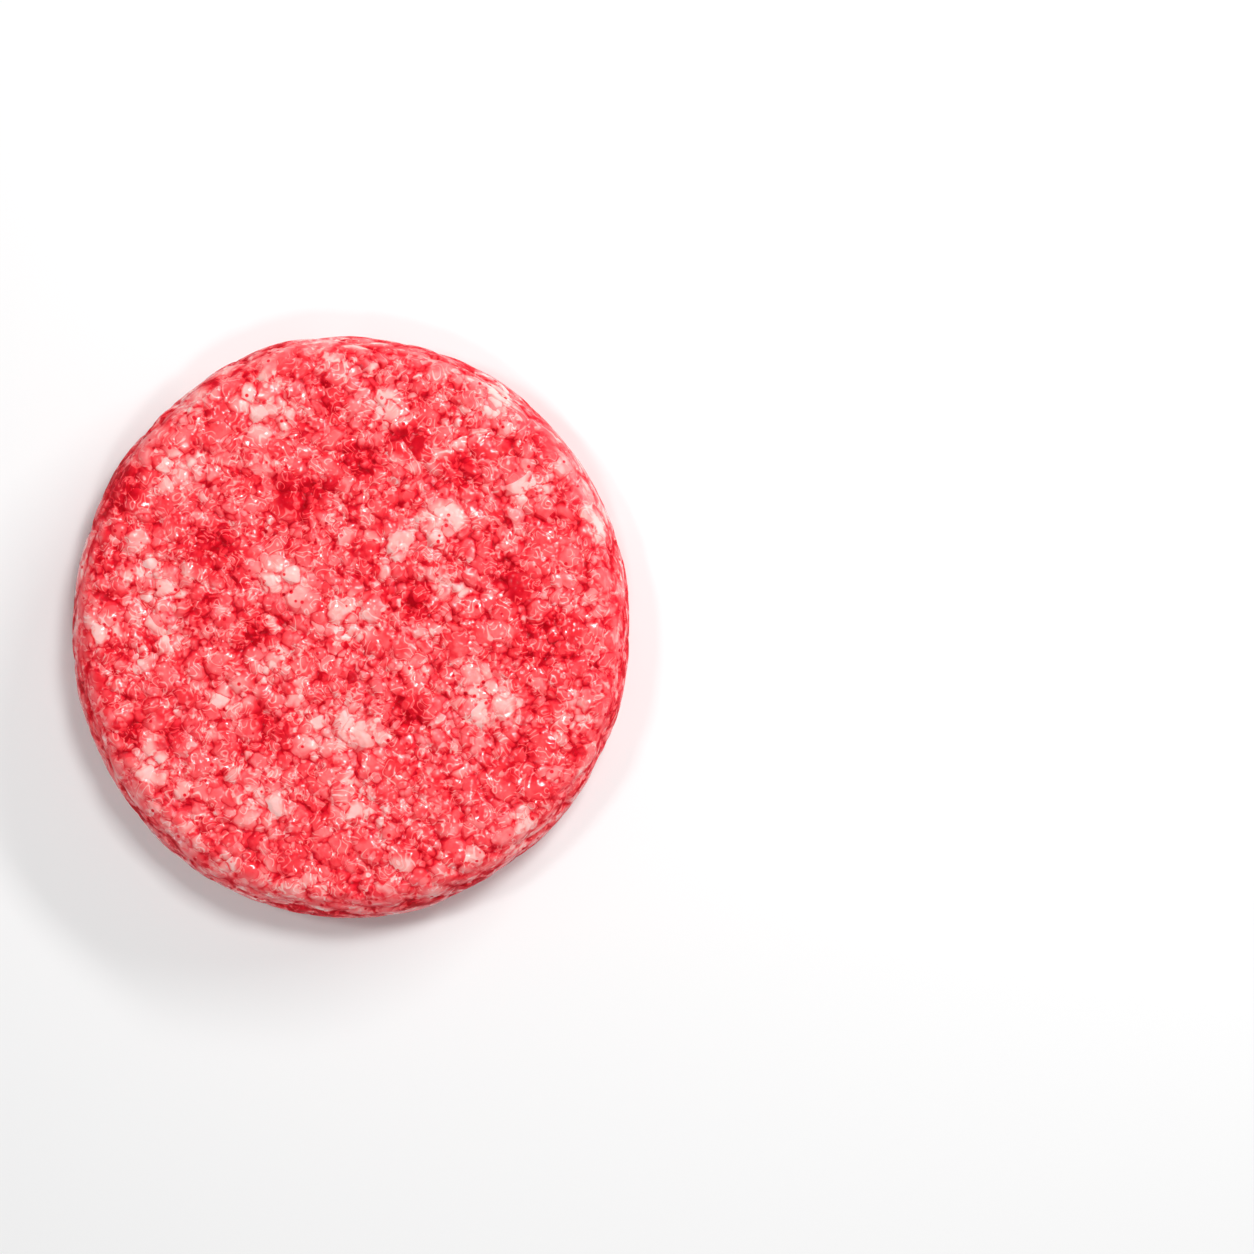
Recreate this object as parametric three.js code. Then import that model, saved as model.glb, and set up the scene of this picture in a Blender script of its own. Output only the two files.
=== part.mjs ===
import * as THREE from "three";

// A raw beef burger patty: one pressed cake of coarse mince, lying flat on its underside.
// Millimetres, +Z up. X runs across the slightly shorter way of the oval, Y along the longer way.
// The origin is on the flat underside, below the middle of the oval.

// The pressed cake, without its relief
const HALF_WIDTH = 54.45;
const HALF_LENGTH = 56.7;
const THICKNESS = 16.8;
const MEAN_RADIUS = Math.sqrt(HALF_WIDTH * HALF_LENGTH);
const SHOULDER_RUN = 6.5; // the top edge rounds off over this width
const WIDEST_HEIGHT = 7.6; // the side bulges most here
const FOOT_RUN = 3.6; // the lower edge tucks in by this much
const ROUNDING = 0.6; // share of each run that a rounded edge's handles reach

// Three slack lobes keep the outline from being a perfect oval
const LOBES = [
  { count: 3, reach: 0.16, turn: 0.4 },
  { count: 5, reach: 0.12, turn: 2.1 },
  { count: 8, reach: 0.08, turn: 4.4 },
];

// Long gentle swells, and lumps of several grains.
// A lump's level is the distance from its middle, in lumps, at which it is neither high nor low.
const SWELL_LENGTH = 41;
const SWELL_SQUEEZE = 0.8;
const SWELL_PHASES = [0.8, 2.3];
const SWELL_RISE = 0.35;
const LUMP_SIZE = 10.5;
const LUMP_LEVEL = 0.55;
const LUMP_RISE = 1.1;

// The mince is packed like cobbles: large grains, smaller beads, and crumbs that fill what they leave open.
// Each is the cap of a random cell, at its level in the middle and falling off with its dome.
const GRAIN = { size: 5.6, level: 1.15, unevenness: 0.8, dome: 5.2 };
const BEAD = { size: 3.5, level: 0.8, unevenness: 0.5, dome: 3.3 };
const CRUMB_LEVEL = -0.5;

// A long and a short wave bend the grains from side to side
const WAVES = [
  { length: 11, shift: 0.5 },
  { length: 4.3, shift: 0.28 },
];
const WAVE_PHASES = [0.3, 1.7, 2.9];

// Above this height the press flattened the relief
const PRESSED_TOP = 0.35;
const PRESSED_SHARE = 0.35;

// Grains in the largest clumps of fat are firm, and stand a little proud of the top
const FAT_RISE = 0.35;
const CLUMP_CORE = 0.4; // share of its width over which a clump is whole
const FAT_CLUMPS = [
  { x: -15.7, y: 12, width: 7 },
  { x: -10.2, y: 8.7, width: 10 },
  { x: -34, y: 9.6, width: 7.5 },
  { x: 18.8, y: 7, width: 6.5 },
  { x: 18.6, y: 23, width: 10 },
  { x: 25.6, y: -10.2, width: 7.5 },
  { x: 30.2, y: -15, width: 8 },
  { x: 2.6, y: -19.8, width: 12 },
  { x: -32.8, y: 31.5, width: 10 },
  { x: -14.8, y: 39.6, width: 11 },
  { x: -37.6, y: -29, width: 6.5 },
  { x: -15.8, y: -33.2, width: 6 },
];

// At the rim the press smeared the grains along the edge and nearly closed their creases
const RIM_START = 5.5;
const RIM_FULL = 1.5;
const RIM_STRETCH = 2.4;
const RIM_SHARE = 0.75;

// The underside lies flat, with hollows only where mince didn't reach the surface it was pressed on
const REST_SPOT = 7;
const REST_EDGE = 13;
const UNDER_SHARE = 0.6;

// Length of the triangles' sides
const FINE = 1.96;
const COARSE = 3.7;
const COARSE_FROM = 1 / 3; // share of the way in from the foot where the underside is fully coarse
const ROW_SHARE = Math.sqrt(3) / 2;

const FULL_TURN = 2 * Math.PI;
const { smoothstep, lerp } = THREE.MathUtils;

// Half the oval's width at an angle, lobes included
function outline(angle) {
  const across = Math.cos(angle) / HALF_WIDTH;
  const along = Math.sin(angle) / HALF_LENGTH;
  const lobes = LOBES.map(({ count, reach, turn }) => reach * Math.cos(count * angle + turn));
  return lobes.reduce((sum, lobe) => sum + lobe, 1 / Math.hypot(across, along));
}

// The half section, from the middle of the top over the side to the middle of the underside
function halfSection() {
  const rim = MEAN_RADIUS;
  const shoulder = new THREE.Vector2(rim - SHOULDER_RUN, THICKNESS);
  const widest = new THREE.Vector2(rim, WIDEST_HEIGHT);
  const foot = new THREE.Vector2(rim - FOOT_RUN, 0);
  const path = new THREE.Path();
  path.moveTo(0, THICKNESS);
  path.lineTo(shoulder.x, shoulder.y);
  path.bezierCurveTo(
    shoulder.x + SHOULDER_RUN * ROUNDING, shoulder.y,
    widest.x, widest.y + (THICKNESS - WIDEST_HEIGHT) * ROUNDING,
    widest.x, widest.y,
  );
  path.bezierCurveTo(
    widest.x, widest.y - WIDEST_HEIGHT * ROUNDING,
    foot.x + FOOT_RUN * ROUNDING, foot.y,
    foot.x, foot.y,
  );
  path.lineTo(0, 0);
  return path.curves;
}

// Points along the half section, one for each ring of the skin, each with its outward direction
function ringStations() {
  const rows = [FINE * ROW_SHARE, FINE * ROW_SHARE, FINE, COARSE * ROW_SHARE];
  const stations = [];
  halfSection().forEach((curve, index) => {
    const under = index === rows.length - 1;
    const steps = Math.ceil(curve.getLength() / rows[index]);
    for (let step = index === 0 ? 0 : 1; step <= steps; step++) {
      const along = step / steps;
      const point = curve.getPointAt(along);
      const tangent = curve.getTangentAt(along);
      stations.push({
        radius: point.x,
        height: point.y,
        outward: new THREE.Vector2(-tangent.y, tangent.x),
        spacing: under ? lerp(FINE, COARSE, Math.min(1, along / COARSE_FROM)) : FINE,
        under,
      });
    }
  });
  return stations;
}

// An integer hash gives each cell of a lattice its own random numbers, the same on every run.
// Its words are unsigned 32-bit numbers, which wrap round.
const HASH_START = 0xdeadbeef;
const HASH_LENGTH_STEP = 4;
const HASH_OFFSET = 13;
const BLEND_TURNS = [4, 6, 8, 16, 19, 4];
const SETTLE_TURNS = [14, 11, 25, 16, 4, 14, 24];
const WORD_BITS = 32;
const WORD_MAX = 0xffffffff;

const rotate = (word, count) => (word << count) | (word >>> (WORD_BITS - count));

// The 32 bits that hold a number
function wordOf(value) {
  return new Uint32Array(Float32Array.of(value).buffer)[0];
}

// Mixes each of three words into the others
function blend(words) {
  BLEND_TURNS.forEach((turn, step) => {
    const to = step % 3;
    const from = (step + 2) % 3;
    words[to] -= words[from];
    words[to] ^= rotate(words[from], turn);
    words[from] += words[(step + 1) % 3];
  });
}

// Mixes three words into the last of them
function settle(words) {
  SETTLE_TURNS.forEach((turn, step) => {
    const to = (step + 2) % 3;
    const from = (step + 1) % 3;
    words[to] ^= words[from];
    words[to] -= rotate(words[from], turn);
  });
  return words[2] / WORD_MAX;
}

// A random number from 0 to 1 for a cell, and others for the same cell with an extra number
function randomOf(cell, extra) {
  const length = extra === undefined ? 3 : 4;
  const start = HASH_START + length * HASH_LENGTH_STEP + HASH_OFFSET;
  const words = Uint32Array.from(cell, (value) => start + wordOf(value));
  if (extra !== undefined) {
    blend(words);
    words[0] += wordOf(extra);
  }
  return settle(words);
}

// The random point that each cell of the lattice holds
const cellPoints = new Map();
function cellPoint(...cell) {
  const key = cell.join();
  if (!cellPoints.has(key)) {
    const share = new THREE.Vector3(randomOf(cell), randomOf(cell, 1), randomOf(cell, 2));
    cellPoints.set(key, { share, place: new THREE.Vector3(...cell).add(share) });
  }
  return cellPoints.get(key);
}

// The nearest of the points of a lattice with cells of a size: how far it is, in cells, and where
function nearestCell(place, size) {
  const scaled = place.clone().divideScalar(size);
  const cell = scaled.clone().floor();
  const around = [-1, 0, 1];
  const points = around.flatMap((x) =>
    around.flatMap((y) => around.map((z) => cellPoint(cell.x + x, cell.y + y, cell.z + z))),
  );
  const found = points.map((point) => ({ point, away: point.place.distanceTo(scaled) }));
  const { point, away } = found.reduce((one, other) => (other.away < one.away ? other : one));
  return { away, chance: point.share.x, middle: point.place.clone().multiplyScalar(size) };
}

// Bends space from side to side, so that the grains aren't straight-edged
function bend(place, { length, shift }) {
  const shifts = [place.y, place.z, place.x].map(
    (value, axis) => shift * Math.sin((FULL_TURN / length) * value + WAVE_PHASES[axis]),
  );
  return new THREE.Vector3(...shifts).add(place);
}

// How high a grain's cap is at a place; fat decides by where the grain's own middle lies
function capHeight(place, sample, { size, level, unevenness, dome }) {
  const { away, chance, middle } = nearestCell(sample, size);
  const ownPlace = middle.sub(sample).add(place);
  return level + unevenness * (chance - 0.5) - dome * away ** 2 + FAT_RISE * clumpShare(ownPlace);
}

// Flattens what stood too high when the cake was pressed
function press(rise) {
  return rise > PRESSED_TOP ? lerp(PRESSED_TOP, rise, PRESSED_SHARE) : rise;
}

// The height of the mince at a place, with its grains looked up where the sample is
function mince(place, sample) {
  const lump = LUMP_RISE * (LUMP_LEVEL - nearestCell(sample, LUMP_SIZE).away);
  const bent = WAVES.reduce(bend, sample);
  const caps = [GRAIN, BEAD].map((layer) => capHeight(place, bent, layer));
  return press(lump + Math.max(...caps, CRUMB_LEVEL));
}

function swell(place) {
  const turn = FULL_TURN / SWELL_LENGTH;
  const across = Math.sin(turn * place.x + SWELL_PHASES[0]);
  const along = Math.cos(turn * place.y * SWELL_SQUEEZE + SWELL_PHASES[1]);
  return SWELL_RISE * across * along;
}

// 1 in the middle of a clump of fat, falling to 0 at its edge
function clumpShare(place) {
  const shares = FAT_CLUMPS.map(({ x, y, width }) => {
    const away = Math.hypot(place.x - x, place.y - y) / (width / 2);
    return 1 - smoothstep(away, CLUMP_CORE, 1);
  });
  return Math.max(...shares);
}

// How far the skin stands out from the smooth cake at a place on it
function relief(place, station, angle) {
  const smeared = Math.hypot(place.x, place.y) - MEAN_RADIUS * (1 - 1 / RIM_STRETCH);
  const along = new THREE.Vector3(Math.cos(angle) * smeared, Math.sin(angle) * smeared, place.z);
  const rim = 1 - smoothstep(MEAN_RADIUS - station.radius, RIM_FULL, RIM_START);
  const rise = lerp(mince(place, place), RIM_SHARE * mince(place, along), rim);
  return rise + swell(place) * Math.max(0, station.outward.y);
}

// The underside's hollows: nothing reaches below the surface that the patty lies on
function hollow(place) {
  const open = smoothstep(Math.hypot(place.x, place.y), REST_SPOT, REST_EDGE);
  return open * Math.max(0, -UNDER_SHARE * mince(place, place));
}

// How many points a ring has: one in the middle of the top and of the underside
function pointCount({ radius, spacing }) {
  if (radius < FINE / 2) return 1;
  return Math.max(6, Math.round((FULL_TURN * radius) / spacing));
}

// One ring of skin points at a station, its relief included
function ringPoints(station, index) {
  const count = pointCount(station);
  return Array.from({ length: count }, (_, step) => {
    const angle = (FULL_TURN * (step + (index % 2) / 2)) / count;
    const across = Math.cos(angle);
    const along = Math.sin(angle);
    const reach = (station.radius * outline(angle)) / MEAN_RADIUS;
    const place = new THREE.Vector3(reach * across, reach * along, station.height);
    if (station.under) {
      place.z = hollow(place);
    } else {
      const { x: out, y: up } = station.outward;
      place.addScaledVector(new THREE.Vector3(out * across, out * along, up), relief(place, station, angle));
      place.z = Math.max(0, place.z);
    }
    return { angle, place };
  });
}

// A fan of triangles between a ring and the single point in its middle
function fan(ring, tip, upward, indices) {
  const count = ring.points.length;
  ring.points.forEach((_, step) => {
    const here = ring.first + step;
    const next = ring.first + ((step + 1) % count);
    indices.push(...(upward ? [tip, here, next] : [here, tip, next]));
  });
}

// A band of triangles between two rings, which may hold different counts of points
function band(upper, lower, indices) {
  const angleAt = ({ points }, step) =>
    points[step % points.length].angle + FULL_TURN * Math.floor(step / points.length);
  const indexAt = ({ first, points }, step) => first + (step % points.length);
  let above = 0;
  let below = 0;
  while (above < upper.points.length || below < lower.points.length) {
    const aboveLeft = above < upper.points.length;
    const belowLeft = below < lower.points.length;
    const aboveFirst = angleAt(upper, above + 1) < angleAt(lower, below + 1);
    const edge = [indexAt(upper, above), indexAt(lower, below)];
    if (!belowLeft || (aboveLeft && aboveFirst)) {
      above += 1;
      indices.push(...edge, indexAt(upper, above));
    } else {
      below += 1;
      indices.push(...edge, indexAt(lower, below));
    }
  }
}

function join(upper, lower, indices) {
  if (upper.points.length === 1) fan(lower, upper.first, true, indices);
  else if (lower.points.length === 1) fan(upper, lower.first, false, indices);
  else band(upper, lower, indices);
}

function pattyGeometry() {
  const positions = [];
  const indices = [];
  let upper = null;
  ringStations().forEach((station, index) => {
    const ring = { points: ringPoints(station, index), first: positions.length / 3 };
    ring.points.forEach(({ place }) => positions.push(...place));
    if (upper) join(upper, ring, indices);
    upper = ring;
  });
  const geometry = new THREE.BufferGeometry();
  geometry.setAttribute("position", new THREE.Float32BufferAttribute(positions, 3));
  geometry.setIndex(indices);
  geometry.computeVertexNormals();
  return geometry;
}

const rawMince = new THREE.MeshStandardMaterial({ color: 0xf0565c, roughness: 0.35, metalness: 0 });

const patty = new THREE.Mesh(pattyGeometry(), rawMince);
patty.name = "patty";

const burger = new THREE.Group();
burger.add(patty);

export default burger;
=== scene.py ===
import math

import bpy
import numpy as np
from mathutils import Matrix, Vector
from mathutils.geometry import interpolate_bezier


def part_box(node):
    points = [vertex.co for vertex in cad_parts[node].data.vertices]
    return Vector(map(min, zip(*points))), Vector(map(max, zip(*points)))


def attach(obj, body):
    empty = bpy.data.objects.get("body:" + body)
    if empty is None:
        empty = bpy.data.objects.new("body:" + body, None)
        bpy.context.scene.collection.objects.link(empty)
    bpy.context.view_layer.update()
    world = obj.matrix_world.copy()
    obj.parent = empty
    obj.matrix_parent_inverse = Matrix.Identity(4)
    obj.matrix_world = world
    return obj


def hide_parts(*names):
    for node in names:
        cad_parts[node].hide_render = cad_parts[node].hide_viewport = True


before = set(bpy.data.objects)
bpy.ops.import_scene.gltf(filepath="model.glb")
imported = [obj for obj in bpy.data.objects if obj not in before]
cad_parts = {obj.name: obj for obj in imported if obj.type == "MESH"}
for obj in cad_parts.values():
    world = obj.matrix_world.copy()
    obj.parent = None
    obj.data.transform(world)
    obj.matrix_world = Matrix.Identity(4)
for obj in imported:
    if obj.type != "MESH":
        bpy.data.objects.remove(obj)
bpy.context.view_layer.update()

# The pressed cake
# A raw burger patty is coarse minced beef pressed in a round forming ring. That leaves a slightly oval
# cake with a soft shoulder and a foot that tucks in. This is its smooth skin, before any grain shows:
# rings of points from the middle of the top, over the side, to the middle of the underside.
MM = 0.001
TAU = 2 * math.pi
CREST = 1.05  # the highest grains stand this far above the cake, in millimetres like the sizes below
RIM_BULGE = 0.38  # and the grains at its widest ring this far out
SHOULDER_RUN = 6.5
WIDEST_HEIGHT = 7.6
FOOT_RUN = 3.6
ROUNDING = 0.6  # share of each run that a rounded edge's handles reach
LOBES = ((3, 0.16, 0.4), (5, 0.12, 2.1), (8, 0.08, 4.4))  # how many, how far out, and turned by what
RIM_START = 5.5  # from here to the edge the press smeared the grains more and more
RIM_FULL = 1.5
RIM_STRETCH = 2.4
SKIN_GAP = 0.44  # between neighbouring points of the skin
UNDER_GAP = 1.3
FEWEST_POINTS = 6  # round the smallest ring
SECTION_STEPS = 600
LOWER_SIDE, UNDERSIDE = 2, 3  # which of the half section's curves these are
DISC_REACH = 1 / (2 + math.sqrt(2))  # half the width of each of two equal discs in a unit square

low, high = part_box("patty")
half_width = (high.x - low.x) / 2 / MM - RIM_BULGE
half_length = (high.y - low.y) / 2 / MM - RIM_BULGE
thickness = high.z / MM - CREST
mean_radius = math.sqrt(half_width * half_length)


def outline(angles):
    """How far the cake's edge is from its middle, at each angle."""
    oval = 1 / np.hypot(np.cos(angles) / half_width, np.sin(angles) / half_length)
    return oval + sum(reach * np.cos(count * angles + turn) for count, reach, turn in LOBES)


def half_section():
    """Half the cake's section, as curves of points (radius, height): top, shoulder, side, underside."""
    shoulder = Vector((mean_radius - SHOULDER_RUN, thickness))
    widest = Vector((mean_radius, WIDEST_HEIGHT))
    foot = Vector((mean_radius - FOOT_RUN, 0))
    shoulder_handle = shoulder + Vector((SHOULDER_RUN * ROUNDING, 0))
    upper_handle = widest + Vector((0, (thickness - WIDEST_HEIGHT) * ROUNDING))
    lower_handle = widest - Vector((0, WIDEST_HEIGHT * ROUNDING))
    foot_handle = foot + Vector((FOOT_RUN * ROUNDING, 0))
    return (
        [Vector((0, thickness)), shoulder],
        interpolate_bezier(shoulder, shoulder_handle, upper_handle, widest, SECTION_STEPS),
        interpolate_bezier(widest, lower_handle, foot_handle, foot, SECTION_STEPS),
        [foot, Vector((0, 0))],
    )


def ring_stations():
    """Where each ring of the skin is: radius, height, outward direction, distance run, curve, and gap."""
    stations = []
    run = 0
    for index, curve in enumerate(half_section()):
        points = np.array([point[:2] for point in curve])
        lengths = np.append(0, np.cumsum(np.linalg.norm(np.diff(points, axis=0), axis=1)))
        gap = UNDER_GAP if index == UNDERSIDE else SKIN_GAP
        steps = math.ceil(lengths[-1] / (gap * math.sqrt(3) / 2))
        along = np.linspace(0, lengths[-1], steps + 1)[min(index, 1):]
        tangents = np.gradient(points, axis=0)
        tangents /= np.linalg.norm(tangents, axis=1)[:, None]
        radii, heights = (np.interp(along, lengths, points[:, axis]) for axis in (0, 1))
        inward, outward = (np.interp(along, lengths, tangents[:, axis]) for axis in (1, 0))
        for radius, height, down, up, distance in zip(radii, heights, inward, outward, run + along):
            stations.append((radius, height, -down, up, distance, index, gap))
        run += lengths[-1]
    return stations


def join_rings(upper, lower):
    """Triangles between two rings, each given as its first point's number and its points' angles."""
    (upper_first, upper_angles), (lower_first, lower_angles) = upper, lower
    upper_count, lower_count = len(upper_angles), len(lower_angles)
    upper_turns = np.append(upper_angles, upper_angles[0] + TAU)
    lower_turns = np.append(lower_angles, lower_angles[0] + TAU)
    triangles = []
    above = below = 0
    while above < upper_count or below < lower_count:
        here = upper_first + above % upper_count
        under = lower_first + below % lower_count
        upper_left = above < upper_count and upper_count > 1
        lower_left = below < lower_count and lower_count > 1
        if not upper_left and not lower_left:
            break
        if upper_left and (not lower_left or upper_turns[above + 1] < lower_turns[below + 1]):
            above += 1
            triangles.append((here, under, upper_first + above % upper_count))
        else:
            below += 1
            triangles.append((here, under, lower_first + below % lower_count))
    return triangles


def unrolled(runs, turns, corners, is_lower):
    """Two flat discs for the skin, parted at the widest ring: the upper side's and the lower side's."""
    from_middle = np.where(is_lower[:, None], runs.max() - runs[corners], runs[corners])
    directions = np.stack([np.cos(turns[corners]), np.sin(turns[corners])], axis=-1)
    directions[is_lower, :, 1] *= -1
    middles = np.where(is_lower, 1 - DISC_REACH, DISC_REACH)
    return middles[:, None, None] + directions * (from_middle / from_middle.max() * DISC_REACH)[..., None]


def pressed_cake():
    """The smooth skin as a mesh, with what the relief needs to know stored on its points."""
    places, outwards, smears, rims, unders, runs, turns, corners, is_lower = ([] for _ in range(9))
    last_ring = None
    first = 0
    for index, (radius, height, out, up, run, curve, gap) in enumerate(ring_stations()):
        count = 1 if radius < gap / 2 else max(FEWEST_POINTS, round(TAU * radius / gap))
        angles = TAU * (np.arange(count) + index % 2 / 2) / count
        across, along = np.cos(angles), np.sin(angles)
        reach = radius * outline(angles) / mean_radius
        rim = np.clip((mean_radius - radius - RIM_FULL) / (RIM_START - RIM_FULL), 0, 1)
        smeared = reach - mean_radius * (1 - 1 / RIM_STRETCH)
        heights = np.full(count, height)
        places.append(np.stack([reach * across, reach * along, heights], axis=1))
        smears.append(np.stack([smeared * across, smeared * along, heights], axis=1))
        outwards.append(np.stack([out * across, out * along, np.full(count, up)], axis=1))
        rims.append(np.full(count, 1 - rim * rim * (3 - 2 * rim)))
        unders.append(np.full(count, float(curve == UNDERSIDE)))
        runs.append(np.full(count, run))
        turns.append(angles)
        ring = (first, angles)
        if last_ring:
            band = join_rings(last_ring, ring)
            corners += band
            is_lower += [curve >= LOWER_SIDE] * len(band)
        last_ring = ring
        first += count
    mesh = bpy.data.meshes.new("patty_meat")
    mesh.from_pydata((np.concatenate(places) * MM).tolist(), [], corners)
    for name, values in (("place", places), ("outward", outwards), ("smeared", smears)):
        attribute_data = mesh.attributes.new(name, "FLOAT_VECTOR", "POINT").data
        attribute_data.foreach_set("vector", np.concatenate(values).ravel())
    for name, values in (("rim", rims), ("underside", unders)):
        mesh.attributes.new(name, "FLOAT", "POINT").data.foreach_set("value", np.concatenate(values))
    flat = unrolled(np.concatenate(runs), np.concatenate(turns), np.array(corners), np.array(is_lower))
    mesh.uv_layers.new(name="OFBake").uv.foreach_set("vector", flat.ravel())
    return mesh


meat_mesh = pressed_cake()
meat = bpy.data.objects.new("patty_meat", meat_mesh)
bpy.context.scene.collection.objects.link(meat)

# The mince
# The cake is made of grains of lean and fat as the mincer cut them, pressed together like cobbles: large
# smooth grains, with beads and crumbs of meat between them. Each is the cap of a random cell, and what
# stands highest shows. The middle of a grain or bead decides whether it lies in a clump of fat.
LAYERS = ("Grain", "Bead", "Crumb")
MINCE = {
    "Grain Size": 5.6,
    "Grain Level": 1.15,
    "Grain Unevenness": 0.8,
    "Grain Dome": 5.2,
    "Bead Size": 3.5,
    "Bead Level": 0.8,
    "Bead Unevenness": 0.5,
    "Bead Dome": 3.3,
    "Crumb Size": 2.1,
    "Crumb Level": 0.3,
    "Crumb Unevenness": 0.0,
    "Crumb Dome": 2.1,
    "Deepest": -0.5,
    "Bend Length": 11.0,
    "Bend Shift": 0.5,
    "Ruffle Length": 4.3,
    "Ruffle Shift": 0.28,
    "Crinkle Length": 1.9,
    "Crinkle Shift": 0.14,
    "Pressed Top": 0.35,
    "Pressed Share": 0.35,
    "Fat Rise": 0.35,
    "Fat Spread": 0.2,
}
BEND_PHASES = (0.3, 1.7, 2.9)
LUMPS = {"Lump Size": 10.5, "Lump Level": 0.55, "Lump Rise": 1.1}
SWELL = {"Swell Length": 41.0, "Swell Squeeze": 0.8, "Swell Rise": 0.35}
SWELL_PHASES = (0.8, 2.3)
RIM_SHARE = 0.75  # how much of the relief is left on the rim
REST_SPOT = 7.0  # the underside is quite flat this far from its middle
REST_EDGE = 13.0  # and has its full hollows from here
UNDER_SHARE = 0.6  # how deep these are, as a share of the relief
FAR = 1000  # beyond any place on the patty
PATCH_EDGE = (0.0, 0.6)  # in half widths, from a patch's edge inwards
WANDER_SIZE = 5.0  # the outlines of the paler and leaner patches wander over this length
WANDER_REACH = 3.0  # and this far
LEAN_SHARE = 0.8  # how lean a lean patch is, beside how pale a pale one is

# Middles and widths of the firm clumps of fat, and of paler and leaner patches, on the top
FAT_CLUMPS = (
    (-15.7, 12, 9), (-11, 8, 12), (-33.7, 9.2, 9), (18.8, 7, 6.5), (18.2, 22.6, 8), (25.6, -10.2, 8),
    (30.2, -15, 8), (2.6, -19.8, 12), (-32.8, 31.5, 8), (-14.8, 39.6, 11), (-37.6, -29, 5.5),
    (-15.8, -33.2, 6), (48, 27.5, 5), (-37.7, 35, 5), (24, 37.4, 5), (-37.9, -24, 5), (-29.7, -24, 5),
    (43.5, 32.5, 8),
)
PALE_PATCHES = (
    (-12, 9, 12), (-38, 7, 17), (-31, 31, 12), (-16, 42, 17), (8, 42, 11), (29, 44, 9), (-5, 55, 11),
    (17, 21, 13), (36, 27, 8), (20, 7, 8), (1, 2, 13), (1, -7, 8), (14, -7, 8), (-33, -2, 8),
    (-47, -1, 8), (-14, -8, 11), (-22, -14, 11), (-1, -20, 17), (16, -22, 7), (28, -15, 15), (44, -16, 9),
    (-38, -27, 7), (-17, -36, 14), (1, -34, 12), (34, -38, 8), (-24, -46, 7), (-30, 44, 8), (48, 20, 7),
)
LEAN_PATCHES = (
    (-9, 25, 14), (-4, 45, 9), (-4, 26, 9), (2, 33, 12), (12, 36, 10), (22, 31, 11), (-26, 15, 15),
    (-28, 4, 9), (-21, 11, 7), (3, 14, 8), (14, 4, 10), (33, 9, 11), (39, -3, 13), (43, 0, 8),
    (-15, -20, 14), (-24, -23, 8), (-34, -21, 9), (12, -16, 9), (-18, -1, 10), (12, -43, 9),
    (-12, -46, 9), (-42, -20, 8), (34, -26, 11), (-44, 27, 12), (37, 38, 6),
)
FLOAT = "NodeSocketFloat"
VECTOR = "NodeSocketVector"


def new_tree(name, kind, inputs, outputs):
    """An empty node tree with named sockets, and its input and output nodes."""
    tree = bpy.data.node_groups.new(name, kind)
    for direction, sockets in (("INPUT", inputs), ("OUTPUT", outputs)):
        for socket_name, socket_type in sockets.items():
            tree.interface.new_socket(socket_name, in_out=direction, socket_type=socket_type)
    return tree, tree.nodes.new("NodeGroupInput").outputs, tree.nodes.new("NodeGroupOutput").inputs


def add(tree, kind, values, **settings):
    """Adds a node; values holds a number or a node's output for each socket that isn't left as it is."""
    node = tree.nodes.new(kind)
    for name, value in settings.items():
        setattr(node, name, value)
    for socket, value in values.items():
        if isinstance(value, bpy.types.NodeSocket):
            tree.links.new(value, node.inputs[socket])
        else:
            node.inputs[socket].default_value = value
    return node


def add_group(tree, group, values):
    kind = tree.bl_idname.replace("NodeTree", "NodeGroup")
    return add(tree, kind, values, node_tree=group).outputs


def calc(tree, operation, *values):
    return add(tree, "ShaderNodeMath", dict(enumerate(values)), operation=operation).outputs[0]


def calc_vector(tree, operation, *values):
    node = add(tree, "ShaderNodeVectorMath", dict(enumerate(values)), operation=operation)
    return node.outputs["Value" if operation in ("DISTANCE", "DOT_PRODUCT", "LENGTH") else "Vector"]


def ease(tree, value, start, end, low=0.0, high=1.0):
    """Goes softly from low to high while value goes from start to end."""
    values = {"Value": value, "From Min": start, "From Max": end, "To Min": low, "To Max": high}
    return add(tree, "ShaderNodeMapRange", values, interpolation_type="SMOOTHSTEP").outputs["Result"]


def mix(tree, share, one, other):
    """one at share 0, other at share 1."""
    return add(tree, "ShaderNodeMix", {"Factor": share, "A": one, "B": other}).outputs["Result"]


def scaled(tree, vector, factor):
    node = add(tree, "ShaderNodeVectorMath", {0: vector, "Scale": factor}, operation="SCALE")
    return node.outputs["Vector"]


def mix_vector(tree, share, one, other):
    return calc_vector(tree, "ADD", one, scaled(tree, calc_vector(tree, "SUBTRACT", other, one), share))


def stored(tree, name, kind="FLOAT"):
    node = add(tree, "GeometryNodeInputNamedAttribute", {"Name": name}, data_type=kind)
    return node.outputs["Attribute"]


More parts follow.
